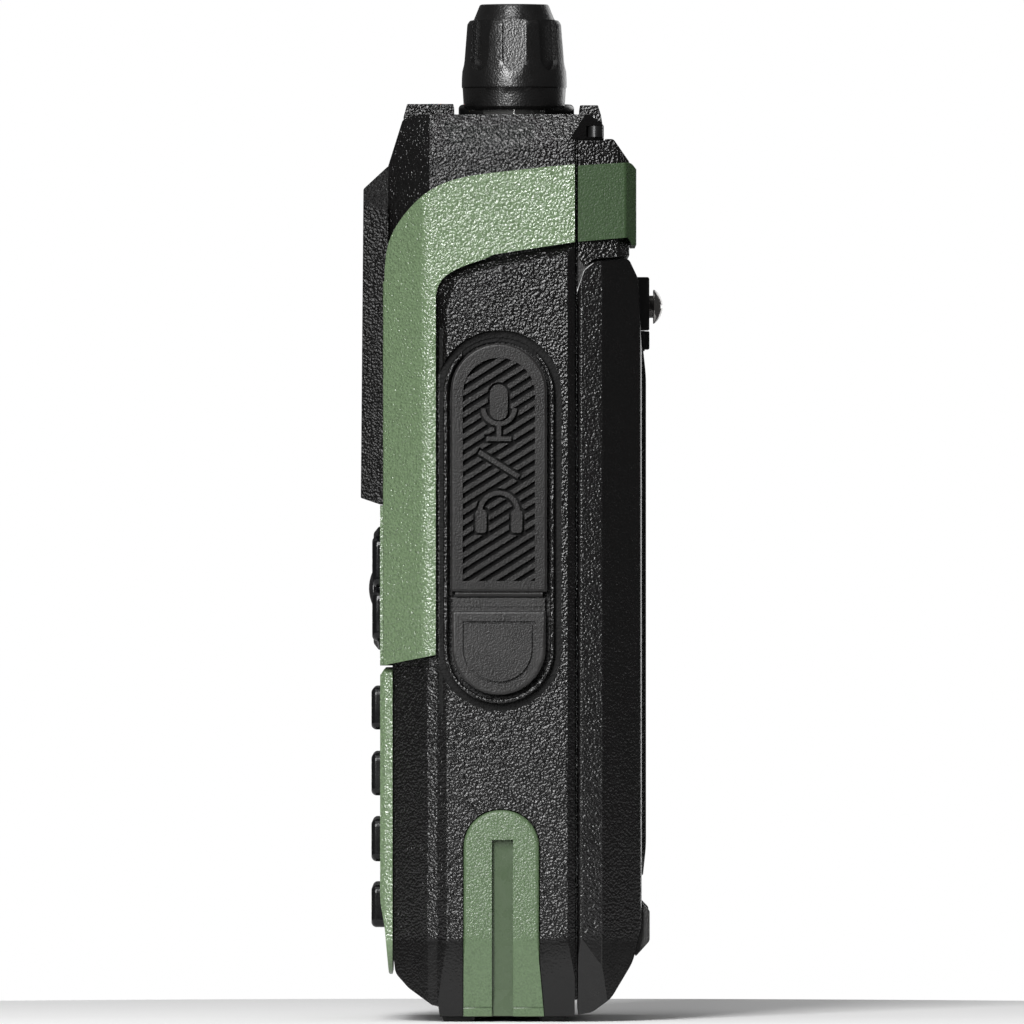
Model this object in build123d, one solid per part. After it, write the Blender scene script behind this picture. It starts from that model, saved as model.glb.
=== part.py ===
from build123d import *
import os

# A handheld two-way radio, in millimetres.
# +Z is up, the display and keys face -Y, the battery faces +Y.
# The jack cover is on the +X side and the push-to-talk button on the -X side.
# The origin is under the middle of the radio, on the plane its feet stand on.

# --- Body ------------------------------------------------------------
CORE_HALF = 29.0            # half width of the housing under the trim
PANEL_HALF = 30.0           # half width at the raised side panels
BAND_HALF = 30.3            # half width at the crest of the green trim
FRONT_LOW = -16.4           # housing front behind the keypad bezel
FRONT_HIGH = -17.0          # housing front behind the display bezel
SPLIT_FRONT = 8.6           # rear edge of the front housing
SPLIT_REAR = 9.05           # front edge of the battery and the rear top cover
BOTTOM = 0.75               # underside of the housing
DECK = 124.4                # top deck
HEAD_SPLIT = 120.9          # the head overhangs the rear top cover above this
HEAD_REAR = 12.6
REAR_LEAN = 0.6             # how far the rear parts' sides lean in by their back corners
TRIM_LOW = 48.8             # lower end of the green trim frame
CAVITY_HALF = 27.0
CAVITY_FRONT = -14.4
TAPER_TOP = 11.5            # below this the side faces lean inward
TAPER = 1.1                 # how far they lean by the underside
BUMPER_FACE = 30.35         # outer face of the green side bumpers
BUMPER_DEPTH = 1.95

# --- Jack cover and push-to-talk recesses -----------------------------------
SIDE_Y = -1.8               # middle of both side recesses
SIDE_LOW = 42.6
SIDE_HIGH = 94.8
RECESS_WIDTH = 17.2
GROOVE_WIDTH = 1.0          # groove round the raised ring of a side recess
GROOVE_DEPTH = 0.9
SIDE_BUTTON_WIDTH = 13.0
RECESS_FLOOR = 28.4
HINGE_X = 29.6              # outer face of the rubber hinge strip
HINGE_Z = 58.65
FLAP_TOP = 92.95
FLAP_GAP = 0.3
FLAP_FACE = 30.45           # outer face of the flap
RIB_FACE = 30.2             # tops of the flap's ribs
RIB_FLOOR = 29.3
HINGE_RADIUS = 0.42
JACKS = [(80.5, 1.8), (69.0, 1.28)]      # (height, bore radius)
JACK_END = 28.3
RIB_PITCH = 1.48            # up the flap, from rib to rib
RIB_WIDTH = 0.62
RIB_SLANT = 32              # degrees, rising towards the battery
PANEL_WIDTH = 9.9           # ribbed panel of the flap
PANEL_LOW = 60.4
PANEL_HIGH = 91.0

# --- Display, keys ------------------------------------------------------------
BEZEL_HALF = 25.0
LENS_SIZE = (40.4, 25.0)
LENS_Z = 86.6
SPEAKER_Z = 106.2
PLATE_FRONT = -18.1         # front face of the trim frame and the keypad bezel
PLATE_HALF = 24.2
KEY_SIZE = (13.0, 5.8)
KEY_PITCH = (15.5, 9.05)
KEY_TOP_Z = 42.9
KEY_FRONT = -19.3
KEY_NAMES = ["key_1", "key_2", "key_3", "key_4", "key_5", "key_6",
             "key_7", "key_8", "key_9", "key_star", "key_0", "key_hash"]
KEY_GAP = 0.22
NAV_Z = 59.35
NAV_RADIUS = 8.5
OK_RADIUS = 2.85
FUNCTION_SIZE = (10.6, 7.1)
MIC_Z = 9.6
FUNCTION_AT = (16.4, 3.7)   # sideways and up or down from the navigation ring

# --- Top deck ------------------------------------------------------------
KNOB_AT = (15.0, 0.3)
KNOB_FLUTES = 8
SHAFT_RADIUS = 3.0
BUSH_RADIUS = 3.6
SHAFT_CLEARANCE = 0.06
ANTENNA_AT = (-13.5, 0.6)
ANTENNA_RADIUS = 3.175      # quarter-inch antenna thread
ANTENNA_NECK = 3.6
COLLAR_TOP = 126.3
LANYARD_AT = (26.4, 11.4)
LANYARD_RADIUS = 1.1
LANYARD_SLOT = (121.3, 122.8)

# --- Battery and clip ------------------------------------------------------------
PACK_BACK = 17.8
PACK_SIDE = 29.5
LUG_X = 24.9
LUG_LEVELS = [20.0, 48.0, 76.0]
LUG_LENGTH = 5.0
SLIDE_TRAVEL = 8.0
CLIP_Z = 98.2
CLIP_SPACING = 13.0
CLIP_BACK = 18.9

# --- Inside ------------------------------------------------------------
BOARD_FRONT = -11.6
BOARD_BACK = -10.0
BOARD_HALF = 26.2
CHASSIS_BACK = 8.4
POSTS = [(x, z) for x in (-23.2, 23.2) for z in (14.0, 52.5, 103.0)]
CASE_SCREWS = [(x, z) for x in (-24.0, 24.0) for z in (7.4, 114.4)]
CASE_POST_FRONT = -12.6     # front end of the posts the case screws bite into


# --- Drawing helpers ------------------------------------------------------------

def outline(*corners):
    """Closed face from (u, v) corners, each with its rounding radius as an optional third number."""
    points = [(corner[0], corner[1]) for corner in corners]
    radii = [corner[2] if len(corner) > 2 else 0 for corner in corners]
    return make_face(FilletPolyline(*points, radius=radii, close=True))


def mirrored(*corners):
    """Closed face symmetric about u = 0 from the corners of its right half."""
    left = [(-corner[0], *corner[1:]) for corner in reversed(corners)]
    return outline(*corners, *left)


def across(face, x_low, x_high):
    """Prism between two X planes from a face drawn in (Y, Z)."""
    return extrude(Plane.YZ.offset(x_low) * face, amount=x_high - x_low)


def through(face, y_low, y_high):
    """Prism between two Y planes from a face drawn in (X, Z)."""
    return extrude(Plane.XZ.offset(-y_high) * face, amount=y_high - y_low)


def upright(face, z_low, z_high):
    """Prism between two Z planes from a face drawn in (X, Y)."""
    return extrude(Plane.XY.offset(z_low) * face, amount=z_high - z_low)


def block(x_range, y_range, z_range):
    """Box from its low and high limit along each axis."""
    ranges = (x_range, y_range, z_range)
    centre = [(low + high) / 2 for low, high in ranges]
    return Pos(*centre) * Box(*[high - low for low, high in ranges])


def post(x, z, radius, y_low, y_high):
    """Round post along Y."""
    return through(Pos(x, z) * Circle(radius), y_low, y_high)


def side_pill(width, low, high, x_low, x_high):
    """Prism along X with half-round ends, between two heights, on the side recess's middle line."""
    face = Pos(SIDE_Y, (low + high) / 2) * SlotOverall(high - low, width, rotation=90)
    return across(face, x_low, x_high)


def both_sides(shape):
    """A shape and its mirror image across X = 0."""
    return [shape, mirror(shape, about=Plane.YZ)]


# --- Front housing ------------------------------------------------------------

def side_silhouette():
    """The front housing seen from the side."""
    return outline(
        (HEAD_REAR, BOTTOM), (-9.9, BOTTOM), (-10.1, 2.1), (-11.0, 2.3, 0.6),
        (-14.2, 4.6, 2.5), (-16.0, 6.6, 2.0), (FRONT_LOW, 10.0), (FRONT_LOW, TRIM_LOW),
        (FRONT_HIGH, TRIM_LOW), (FRONT_HIGH, 117.3), (-15.0, 123.7, 0.6), (-12.5, DECK, 4.0),
        (10.6, DECK, 2.0), (HEAD_REAR, 122.9, 0.5))


def core():
    """The housing's solid outer body, before its panels, recesses and cavity."""
    low_plan = mirrored((24.0, FRONT_LOW, 0.8), (28.0, -11.6, 0.6), (28.4, -10.2), (28.4, SPLIT_FRONT))
    high_plan = mirrored((24.6, FRONT_HIGH, 0.8), (CORE_HALF, -11.3, 0.5), (CORE_HALF, SPLIT_FRONT))
    head_plan = mirrored((24.6, FRONT_HIGH, 0.8), (CORE_HALF, -11.3, 0.5), (CORE_HALF, 7.9, 0.8),
                         (26.2, HEAD_REAR, 1.0))
    body = upright(low_plan, BOTTOM, TRIM_LOW)
    body += upright(high_plan, TRIM_LOW, HEAD_SPLIT)
    body += upright(head_plan, HEAD_SPLIT, DECK)
    return body & across(side_silhouette(), -CORE_HALF, CORE_HALF)


def shoulder(side):
    """Wedge that slopes the head inward above a line climbing to the rear."""
    rise = 0.1303
    start = -20.0
    foot = 118.46 + rise * (start + 11.3)
    face = outline((CORE_HALF, foot), (CORE_HALF + 8, foot), (CORE_HALF + 8, foot + 12),
                   (CORE_HALF - 4.9, foot + 12))
    wedge = extrude(Plane.XZ.offset(-start) * face, amount=45, dir=(0, 1, rise))
    return wedge if side > 0 else mirror(wedge, about=Plane.YZ)


def hip(side):
    """Half-space above a plane that leans the head's front corner in with the shoulder beside it."""
    foot = Vector(CORE_HALF, -11.3, 118.46)
    along_corner = Vector(-4.4, -5.7, 0)
    up_shoulder = Vector(-2.43, 0, 5.94)
    plane = Plane(origin=foot, x_dir=along_corner, z_dir=up_shoulder.cross(along_corner))
    waste = plane * Box(60, 60, 20, align=(Align.CENTER, Align.CENTER, Align.MIN))
    return waste if side > 0 else mirror(waste, about=Plane.YZ)


def side_taper(half, extra=3.0):
    """Wedge outside a side face at X = half that narrows its lowest part, on the +X side."""
    face = outline((half, TAPER_TOP), (half - TAPER, BOTTOM), (half - TAPER, BOTTOM - 1.0),
                   (half + extra, BOTTOM - 1.0), (half + extra, TAPER_TOP))
    return through(face, -30, 30)


def side_panel():
    """Raised side panel with a sloping border, on the +X side."""
    face = outline(
        (-10.25, 2.1), (-10.25, 99.0, 4.5), (-8.6, 102.4, 3.0), (-4.5, 104.3, 12.0),
        (SPLIT_FRONT, 106.75), (SPLIT_FRONT, BOTTOM), (-9.9, BOTTOM), (-9.9, 2.1))
    panel = across(face, CORE_HALF - 1.4, PANEL_HALF)
    rim = panel.faces().sort_by(Axis.X)[-1].edges()
    soft = [edge for edge in rim if edge.center().Y < SPLIT_FRONT - 0.2 and edge.center().Z > 4]
    panel = chamfer(soft, length=0.98, length2=1.3)
    rear_slope = outline((PANEL_HALF, 7.6), (PANEL_HALF - 0.55, SPLIT_FRONT), (PANEL_HALF - 0.55, 10.0),
                         (PANEL_HALF + 1, 10.0), (PANEL_HALF + 1, 7.6))
    return panel - upright(rear_slope, 0, 110)


def islands():
    """Two raised ribs across the deck. The front one carries on the slope of the housing's front."""
    front = outline((-14.9, 123.2), (-8.0, 123.2), (-8.0, 125.9, 0.2), (-14.4, 125.9, 0.2), (-14.9, 124.1))
    rear = outline((9.3, 123.2), (12.4, 123.2), (12.2, DECK), (11.8, 125.7, 0.2), (9.3, 125.7, 0.2))
    return [across(front, -21.0, 21.0), across(rear, -23.0, 23.0)]


def button_windows(clearance, y_low, y_high):
    """Through cuts for the number keys, function keys and navigation ring."""
    cuts = []
    for x, z in key_places():
        face = Pos(x, z) * RectangleRounded(KEY_SIZE[0] + 2 * clearance, KEY_SIZE[1] + 2 * clearance, 1.2)
        cuts.append(through(face, y_low, y_high))
    for x, z in function_places():
        face = Pos(x, z) * RectangleRounded(
            FUNCTION_SIZE[0] + 2 * clearance, FUNCTION_SIZE[1] + 2 * clearance, 1.6)
        cuts.append(through(face, y_low, y_high))
    cuts.append(post(0, NAV_Z, NAV_RADIUS + clearance, y_low, y_high))
    return cuts


def key_places():
    """Middle of each number key, in reading order."""
    return [((column - 1) * KEY_PITCH[0], KEY_TOP_Z - row * KEY_PITCH[1])
            for row in range(4) for column in range(3)]


def function_places():
    """Middle of each function key: upper left, upper right, lower left, lower right."""
    return [(side * FUNCTION_AT[0], NAV_Z + level * FUNCTION_AT[1])
            for level in (1, -1) for side in (-1, 1)]


def side_recess():
    """Groove, ring and floor of a side recess, as cuts for the +X side."""
    outer = side_pill(RECESS_WIDTH, SIDE_LOW, SIDE_HIGH, PANEL_HALF - GROOVE_DEPTH, PANEL_HALF + 1)
    outer -= ring_space(PANEL_HALF - 1.5, PANEL_HALF + 2)
    return [outer, inner_recess(RECESS_FLOOR, PANEL_HALF + 1)]


def ring_space(x_low, x_high):
    """Everything inside the groove of a side recess."""
    return side_pill(RECESS_WIDTH - 2 * GROOVE_WIDTH, SIDE_LOW + GROOVE_WIDTH, SIDE_HIGH - GROOVE_WIDTH,
                     x_low, x_high)


def inner_recess(x_low, x_high):
    """The space inside the ring, which the rubber cover fills."""
    return side_pill(RECESS_WIDTH - 3.2, SIDE_LOW + 1.6, FLAP_TOP + FLAP_GAP, x_low, x_high)


def side_ring():
    """Raised ring of a side recess, on the +X side, with a finger gap at its top."""
    ring = ring_space(PANEL_HALF - 1.2, PANEL_HALF + 0.25)
    ring -= inner_recess(PANEL_HALF - 2, PANEL_HALF + 2)
    rim = ring.faces().sort_by(Axis.X)[-1].edges()
    return fillet(rim, 0.22)


def finger_gap():
    """Cut through the ring above the flap, where a nail gets under it."""
    gap = across(outline((-6.9, 90.0), (3.3, 90.0), (3.3, 95.0), (-6.9, 95.0)), 20, 40)
    return gap & ring_space(RECESS_FLOOR + 0.5, 32)


def bumper_face(grow=0.0):
    """Outline of a side bumper, with a half-round top."""
    return outline((-6.65 - grow, BOTTOM),
                   (-6.65 - grow, 29.05 + grow, 5.1), (3.75 + grow, 29.05 + grow, 5.1),
                   (3.75 + grow, 8.0, 8.0), (4.4 + grow, BOTTOM))


def housing_cavity():
    """Everything hollow inside the front housing."""
    profile = outline((SPLIT_FRONT + 5, 3.2), (-10.2, 3.2), (CAVITY_FRONT, 7.6), (CAVITY_FRONT, 117.6),
                      (SPLIT_FRONT + 5, 117.6))
    room = across(profile, -CAVITY_HALF, CAVITY_HALF)
    bevel = 3.4
    for side in (-1, 1):
        corner = Pos(side * CAVITY_HALF, CAVITY_FRONT, 60) * Rot(0, 0, 45) * Box(bevel, bevel, 150)
        room -= corner
    room += block((-23.0, 23.0), (-12.0, SPLIT_FRONT + 5), (117.0, 121.0))
    return room


def front_housing():
    body = core()
    for side in (-1, 1):
        body -= shoulder(side)
        body -= hip(side)
    for panel in both_sides(side_panel() - side_taper(PANEL_HALF)):
        body += panel
    for rib in islands():
        body += rib
    body -= housing_cavity()
    body -= block((-21, 21), (FRONT_HIGH - 1, CAVITY_FRONT + 1), (73.6, 112.4))
    for cut in button_windows(KEY_GAP + 0.15, FRONT_HIGH - 1, CAVITY_FRONT + 1):
        body -= cut
    for cut in side_recess():
        for shape in both_sides(cut):
            body -= shape
    for ring in both_sides(side_ring()):
        body += ring
    body -= finger_gap()
    for insert in both_sides(across(bumper_face(0.12), BUMPER_FACE - BUMPER_DEPTH, PANEL_HALF + 1)):
        body -= insert
    for z, radius in JACKS:
        body -= across(Pos(SIDE_Y, z) * Circle(3.1), CAVITY_HALF - 1, PANEL_HALF)
    for z_low, z_high in side_buttons().values():
        body -= button_cap(z_low - KEY_GAP, z_high + KEY_GAP, SIDE_BUTTON_WIDTH + 2 * KEY_GAP,
                           -PANEL_HALF, -CAVITY_HALF + 1)
    body -= upright(Pos(*KNOB_AT) * Circle(BUSH_RADIUS + 0.1), 115, 130)
    body -= upright(Pos(*ANTENNA_AT) * Circle(ANTENNA_NECK + 0.1), 115, 130)
    body -= block((-2.2, 2.2), (-11.75, -9.4), (124.6, 127))
    body -= block((23.0, 40.0), (10.2, 20.0), LANYARD_SLOT)
    for x, z in CASE_SCREWS:
        body += post(x, z, 2.7, CASE_POST_FRONT, 6.0)
        body -= post(x, z, 1.05, -6.0, 6.1)
    body -= post(0, MIC_Z, 0.6, FRONT_LOW - 1, CAVITY_FRONT + 1)
    seam_lip = block((CAVITY_HALF + 0.3, 28.2), (SPLIT_FRONT - 0.5, SPLIT_REAR - 0.12), (3.0, 120.3))
    for lip in both_sides(seam_lip):
        body += lip
    return body


def lanyard_post():
    return upright(Pos(*LANYARD_AT) * Circle(LANYARD_RADIUS), *LANYARD_SLOT)


# --- Green trim ------------------------------------------------------------

def band_face():
    """Side outline of the trim frame: down the front corner and back over an arch."""
    top = Spline((SPLIT_FRONT, 117.5), (-2.6, 116.35), (-11.3, 113.9), (-15.6, 109.5), (-17.5, 101.5),
                 tangents=((-1, -0.08), (0, -1)))
    front = Polyline((-17.5, 101.5), (-20.0, 101.5), (-20.0, TRIM_LOW), (-17.9, TRIM_LOW), (-10.45, 50.3),
                     (-10.45, 98.9))
    inner = Spline((-10.45, 98.9), (-8.7, 102.5), (-4.1, 104.45), (SPLIT_FRONT, 106.85),
                   tangents=((0, 1), (1, 0.15)))
    back = Line((SPLIT_FRONT, 106.85), (SPLIT_FRONT, 117.5))
    return make_face([top, front, inner, back])


def trim_shell():
    """Outer surface that the side bands follow: it rounds the front corner of the housing."""
    return upright(mirrored((25.3, -17.75, 0.8), (BAND_HALF, -11.9, 2.6), (BAND_HALF, SPLIT_FRONT)),
                   TRIM_LOW, 119)


def trim_frame():
    bands = trim_shell()
    arch = across(band_face(), 15, 40)
    bands = (bands & arch) + (bands & mirror(arch, about=Plane.YZ))
    plate = mirrored((PLATE_HALF + 0.8, TRIM_LOW, 0.5), (PLATE_HALF + 0.8, 70.8, 0.5))
    bands += through(plate, PLATE_FRONT, FRONT_HIGH)
    bands -= core()
    for panel in both_sides(side_panel()):
        bands -= panel
    for cut in button_windows(KEY_GAP, PLATE_FRONT - 5, FRONT_HIGH + 1):
        bands -= cut
    bands -= display_envelope()
    return bands


def rear_plan(half, back, slope):
    """Plan of a rear part: its sides lean in a little towards its sloped back corners."""
    return mirrored((half, SPLIT_REAR), (half - REAR_LEAN, back - 0.55 * slope, 0.6),
                    (half - slope, back, 0.6))


def rear_trim_band():
    band = upright(rear_plan(BAND_HALF - 0.1, 17.05, 2.7), 100, 120)
    face = outline((SPLIT_REAR, 106.9), (15.9, 107.5), (16.4, 106.5), (18.0, 106.5), (18.0, 115.6, 1.0),
                   (16.3, 117.8, 1.0), (SPLIT_REAR, 117.35))
    band = band & across(face, -40, 40)
    return band - rear_cover_body()


def rear_cover_body():
    body = upright(rear_plan(CORE_HALF, 16.1, 2.6), 100, 121)
    face = outline((SPLIT_REAR, 121.0), (SPLIT_REAR, 104.9, 0.5), (9.9, 103.5, 0.5), (11.3, 104.5, 0.8),
                   (16.1, 105.0), (16.1, 117.9), (13.9, 121.0, 0.6))
    body = body & across(face, -40, 40)
    for side in (-1, 1):
        body -= shoulder(side)
    return body


def rear_top_cover():
    body = rear_cover_body()
    body -= block((-26.0, 26.0), (SPLIT_REAR - 1, 13.9), (107.0, 118.8))
    return body - block((-40, 40), (8, HEAD_REAR + 0.15), (HEAD_SPLIT - 0.1, 130))


# --- Display ------------------------------------------------------------

def display_envelope():
    """Outer body of the display bezel."""
    side = outline((FRONT_HIGH, 70.9), (PLATE_FRONT, 70.9), (-20.75, 71.8, 0.25), (-20.4, 112.0, 3.0),
                   (-20.4, 114.2, 0.6), (-17.1, 117.3, 0.2), (FRONT_HIGH, 117.3))
    plan = mirrored((BEZEL_HALF + 0.4, FRONT_HIGH), (BEZEL_HALF - 0.6, -21.0))
    front = mirrored((BEZEL_HALF + 0.4, 70.0, 1.5), (BEZEL_HALF + 0.4, 110.9, 2.0), (20.5, 117.3, 2.0))
    return across(side, -40, 40) & upright(plan, 60, 120) & through(front, -25, FRONT_HIGH)


def display_bezel():
    body = display_envelope()
    lens = RectangleRounded(LENS_SIZE[0] + 0.2, LENS_SIZE[1] + 0.2, 2.1)
    window = RectangleRounded(LENS_SIZE[0] - 3.4, LENS_SIZE[1] - 3.4, 1.0)
    body -= through(Pos(0, LENS_Z) * lens, -25, -19.4)
    body -= through(Pos(0, LENS_Z) * window, -25, -15)
    body -= block((-20.8, 20.8), (-18.7, -16), (73.8, 112.2))
    for row in range(5):
        slot = Pos(0, SPEAKER_Z + (row - 2) * 2.0) * SlotOverall(26.0 - 3.0 * abs(row - 2), 1.1)
        body -= through(slot, -25, -15)
    return body


def display_lens():
    return through(Pos(0, LENS_Z) * RectangleRounded(*LENS_SIZE, 2.0), -20.45, -19.45)


def lcd_module():
    body = block((-20.3, 20.3), (-18.6, -14.8), (74.2, 99.4))
    return body - block((-17.9, 17.9), (-19, -18.4), (76.0, 97.2))


def speaker_grille_mesh():
    return through(Pos(0, SPEAKER_Z) * RectangleRounded(32, 11.4, 2), -18.68, -18.5)


def speaker():
    frame = through(Pos(0, SPEAKER_Z) * RectangleRounded(34, 11.6, 4.5), -18.45, -16.6)
    cone = through(Pos(0, SPEAKER_Z) * RectangleRounded(30, 8.4, 3.6), -19, -17.6)
    magnet = through(Pos(0, SPEAKER_Z) * RectangleRounded(18, 8.0, 2.0), -16.6, -13.2)
    return frame - cone + magnet


# --- Keys ------------------------------------------------------------

def keypad_bezel():
    side = outline((FRONT_LOW, 6.4), (-16.9, 6.4, 0.3), (-17.5, 13.0, 10.0), (PLATE_FRONT, 16.5, 10.0),
                   (PLATE_FRONT, 47.5, 0.4), (-17.5, 48.35, 0.3), (FRONT_LOW, 48.35))
    plan = mirrored((PLATE_HALF, FRONT_LOW), (PLATE_HALF - 0.2, -17.45, 0.3), (PLATE_HALF - 0.9, -18.4))
    front = mirrored((PLATE_HALF, 6.4, 5.0), (PLATE_HALF, 48.35, 1.0))
    body = across(side, -40, 40) & upright(plan, 0, 60) & through(front, -25, FRONT_LOW)
    for cut in button_windows(KEY_GAP, -25, -10):
        body -= cut
    return body - post(0, MIC_Z, 0.6, -25, -10)


def pressed_key(face, flange, front, edge):
    """Key cap with rounded front edges and a retaining flange behind the housing wall."""
    cap = through(face, front, -14.2)
    rim = cap.faces().sort_by(Axis.Y)[0].edges()
    cap = fillet(rim, edge)
    return cap + through(flange, -14.25, -13.65)


def number_key(x, z):
    face = Pos(x, z) * RectangleRounded(*KEY_SIZE, 1.1)
    flange = Pos(x, z) * RectangleRounded(KEY_SIZE[0] + 1.4, KEY_SIZE[1] + 1.4, 1.1)
    return pressed_key(face, flange, KEY_FRONT, 0.7)


def function_key(x, z):
    face = Pos(x, z) * RectangleRounded(*FUNCTION_SIZE, 1.5)
    flange = Pos(x, z) * RectangleRounded(FUNCTION_SIZE[0] + 1.4, FUNCTION_SIZE[1] + 0.1, 1.1)
    return pressed_key(face, flange, -19.2, 0.8)


def nav_ring():
    """Ring that is highest near its rim and dished towards the centre button."""
    profile = outline((OK_RADIUS + 0.25, 13.9), (NAV_RADIUS, 13.9),
                      (NAV_RADIUS, 18.4), (NAV_RADIUS - 0.9, 19.1, 0.6),
                      (NAV_RADIUS - 2.6, 19.1, 1.2), (OK_RADIUS + 1.0, 18.5, 0.5), (OK_RADIUS + 0.25, 18.3))
    ring = revolve(Plane.XY * profile, Axis.Y)
    ring = Pos(0, 0, NAV_Z) * mirror(ring, about=Plane.XZ)
    flange = post(0, NAV_Z, NAV_RADIUS + 0.7, -13.95, -13.45) - post(0, NAV_Z, OK_RADIUS + 0.25, -15, -13)
    return ring + flange


def nav_ok_button():
    cap = post(0, NAV_Z, OK_RADIUS, -19.1, -13.65)
    dome_radius = 5.6
    dome = Pos(0, -19.75 + dome_radius, NAV_Z) * Sphere(dome_radius)
    dome = dome & post(0, NAV_Z, OK_RADIUS, -21, -18.9)
    return cap + dome


def keypad_mat():
    sheet = block((-21.8, 21.8), (-12.5, BOARD_FRONT - 0.1), (11.6, 70.2))
    for x, z in key_places() + function_places() + [(0, NAV_Z)]:
        sheet += post(x, z, 1.6, -12.95, -12.4)
    return sheet


def side_buttons():
    """Lower and upper end of each button on the -X side."""
    return {"ptt_button": (66.6, 92.6), "side_key_upper": (56.0, 65.4), "side_key_lower": (44.9, 54.8)}


def button_cap(z_low, z_high, width, x_low, x_high):
    """Straight-sided button between two heights, with the recess's round ends."""
    lane = across(outline((SIDE_Y - 10, z_low), (SIDE_Y + 10, z_low), (SIDE_Y + 10, z_high),
                          (SIDE_Y - 10, z_high)), x_low, x_high)
    grow = width - SIDE_BUTTON_WIDTH
    pill = side_pill(width, SIDE_LOW + 2.3 - grow / 2, FLAP_TOP + grow / 2, x_low, x_high)
    return lane & pill


def side_button(z_low, z_high):
    """Push button through the -X wall, with its flange inside."""
    cap = button_cap(z_low, z_high, SIDE_BUTTON_WIDTH, -31.0, -26.9)
    near_straight_side = SIDE_BUTTON_WIDTH / 2 - 0.1
    square = [edge for edge in cap.edges().filter_by(Axis.X)
              if 54 < edge.center().Z < 70 and abs(edge.center().Y - SIDE_Y) > near_straight_side]
    cap = fillet(square, 1.2)
    cap = fillet(cap.faces().sort_by(Axis.X)[0].edges(), 0.8)
    half = SIDE_BUTTON_WIDTH / 2 + 0.5
    return cap + block((-26.95, -26.3), (SIDE_Y - half, SIDE_Y + half), (z_low - 0.45, z_high + 0.45))


# --- Jack cover ------------------------------------------------------------

def ribbed_panel():
    """Face of the flap's recessed panel, drawn in (Y, Z)."""
    slot = Pos(SIDE_Y, (PANEL_LOW + PANEL_HIGH) / 2 - 3) * SlotOverall(
        PANEL_HIGH - PANEL_LOW + 6, PANEL_WIDTH, rotation=90)
    return slot & Pos(SIDE_Y, (PANEL_LOW + PANEL_HIGH) / 2) * Rectangle(PANEL_WIDTH, PANEL_HIGH - PANEL_LOW)


def slanted_ribs():
    """Faces of the ribs across the panel, drawn in (Y, Z)."""
    rows = round((PANEL_HIGH - PANEL_LOW) / RIB_PITCH) + 4
    ribs = []
    for row in range(rows):
        height = PANEL_LOW - 2.3 + row * RIB_PITCH
        ribs.append(Pos(SIDE_Y, height) * Rot(0, 0, RIB_SLANT) * Rectangle(16, RIB_WIDTH))
    return ribs


def microphone_sign(z, grow=0.0):
    """Pictogram of a microphone on its stand, with its strokes widened by grow on each side."""
    stroke = 0.62 + 2 * grow
    sign = Pos(0, 1.5) * SlotOverall(4.9 + 2 * grow, 2.4 + 2 * grow, rotation=90)
    cradle = Circle(2.45 + grow) - Circle(1.83 - grow)
    sign += Pos(0, 0.7) * (cradle & Pos(0, -2) * Rectangle(9, 4))
    sign += Pos(0, -2.55) * Rectangle(stroke, 2.0)
    sign += Pos(0, -3.5) * Rectangle(3.4 + 2 * grow, stroke)
    return Pos(SIDE_Y, z) * sign


def earphones_sign(z, grow=0.0):
    """Pictogram of a pair of earphones on their headband."""
    band = Circle(2.9 + grow) - Circle(2.28 - grow)
    sign = band & Pos(0, 2) * Rectangle(9, 4)
    for side in (-1, 1):
        sign += Pos(side * 2.45, -1.3) * RectangleRounded(1.5 + 2 * grow, 3.2 + 2 * grow, 0.5)
    return Pos(SIDE_Y, z) * sign


def flap_signs(grow=0.0):
    """The two pictograms, with a slanted bar between them."""
    bar = Pos(SIDE_Y, 76.4) * Rot(0, 0, -RIB_SLANT) * Rectangle(6.4 + 2 * grow, 0.62 + 2 * grow)
    return [microphone_sign(83.4, grow), bar, earphones_sign(69.9, grow)]


def jack_cover_flap():
    """Rubber flap over the two jacks, hinged on a round bead along its lower edge."""
    body = side_pill(13.2, HINGE_Z - 12, FLAP_TOP, RECESS_FLOOR + 0.25, FLAP_FACE)
    body = body & block((25, 35), (-20, 20), (HINGE_Z + 0.3, FLAP_TOP))
    body = fillet(body.faces().sort_by(Axis.X)[-1].edges(), 0.35)
    grooves = ribbed_panel()
    signs = flap_signs()
    for rib in slanted_ribs():
        grooves -= rib
    for moat in flap_signs(grow=0.32):
        grooves += moat & ribbed_panel()
    for sign in signs:
        grooves -= sign
    body -= across(grooves, RIB_FLOOR, FLAP_FACE + 1)
    body -= across(ribbed_panel() - signs[0] - signs[1] - signs[2], RIB_FACE, FLAP_FACE + 1)
    for z, radius in JACKS:
        body += across(Pos(SIDE_Y, z) * Circle(radius + 0.8), JACK_END + 0.1, RECESS_FLOOR + 0.6)
    bead = Pos(HINGE_X, SIDE_Y, HINGE_Z) * Rot(90, 0, 0) * Cylinder(HINGE_RADIUS, 12.0)
    return body + bead


def jack_cover_anchor():
    """Fixed lower half of the rubber cover, with the thin hinge strip above it."""
    low = SIDE_LOW + 2.2
    body = side_pill(12.8, low, 90, RECESS_FLOOR + 0.02, 30.35)
    body = body & block((25, 35), (-20, 20), (low, 56.3))
    rim = body.faces().sort_by(Axis.X)[-1].edges()
    body = fillet(rim, 0.35)
    groove = side_pill(9.9, low + 1.4, 90, 29.85, 31) & block((25, 35), (-20, 20), (low, 54.9))
    panel = side_pill(9.0, low + 1.85, 90, 29, 30.4) & block((25, 35), (-20, 20), (low, 54.45))
    body -= groove
    body += panel
    strip = block((RECESS_FLOOR + 0.02, HINGE_X), (-8.1, 4.5), (56.0, HINGE_Z - HINGE_RADIUS - 0.12))
    bead = block((HINGE_X - 0.3, HINGE_X + 0.2), (-8.1, 4.5), (56.9, 57.3))
    return body + strip + bead


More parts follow.
